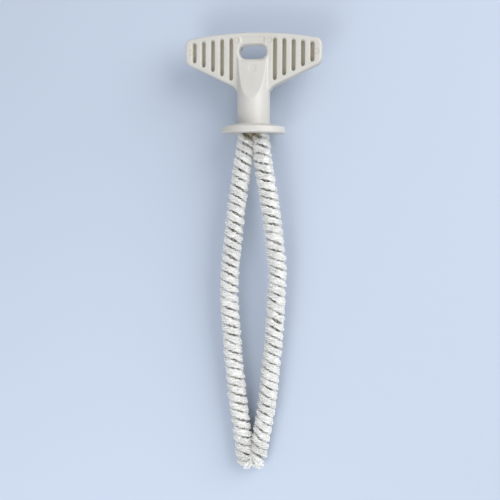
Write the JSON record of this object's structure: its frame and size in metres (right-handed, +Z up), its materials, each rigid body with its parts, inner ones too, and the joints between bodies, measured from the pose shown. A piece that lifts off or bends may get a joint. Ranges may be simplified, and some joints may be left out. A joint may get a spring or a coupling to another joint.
{
  "type": "test tube brush",
  "caption": "Twisted-wire test tube brush bent into a long narrow loop, with white bristles and a moulded T-handle whose round flange stops at the tube's rim.",
  "frame": {"origin": "centre of the footprint at the surface that the brush lies on", "axes": "+Y towards the handle's end, +X across the wings of the handle, +Z up; the brush lies on the rim of its flange and on the bristles of the loop's bend"},
  "size_m": [0.065, 0.2106, 0.0305],
  "materials": {
    "handle_plastic": "satin",
    "bristle_nylon": "matte",
    "wire_steel": "satin",
    "adhesive": "gloss"
  },
  "bodies": {
    "root": {"handle": "handle_plastic", "adhesive_plug": "adhesive", "wire_strand_a": "wire_steel", "wire_strand_b": "wire_steel", "bristles_left_leg": "bristle_nylon", "bristles_tip": "bristle_nylon", "bristles_right_leg": "bristle_nylon"}
  },
  "joints": []
}
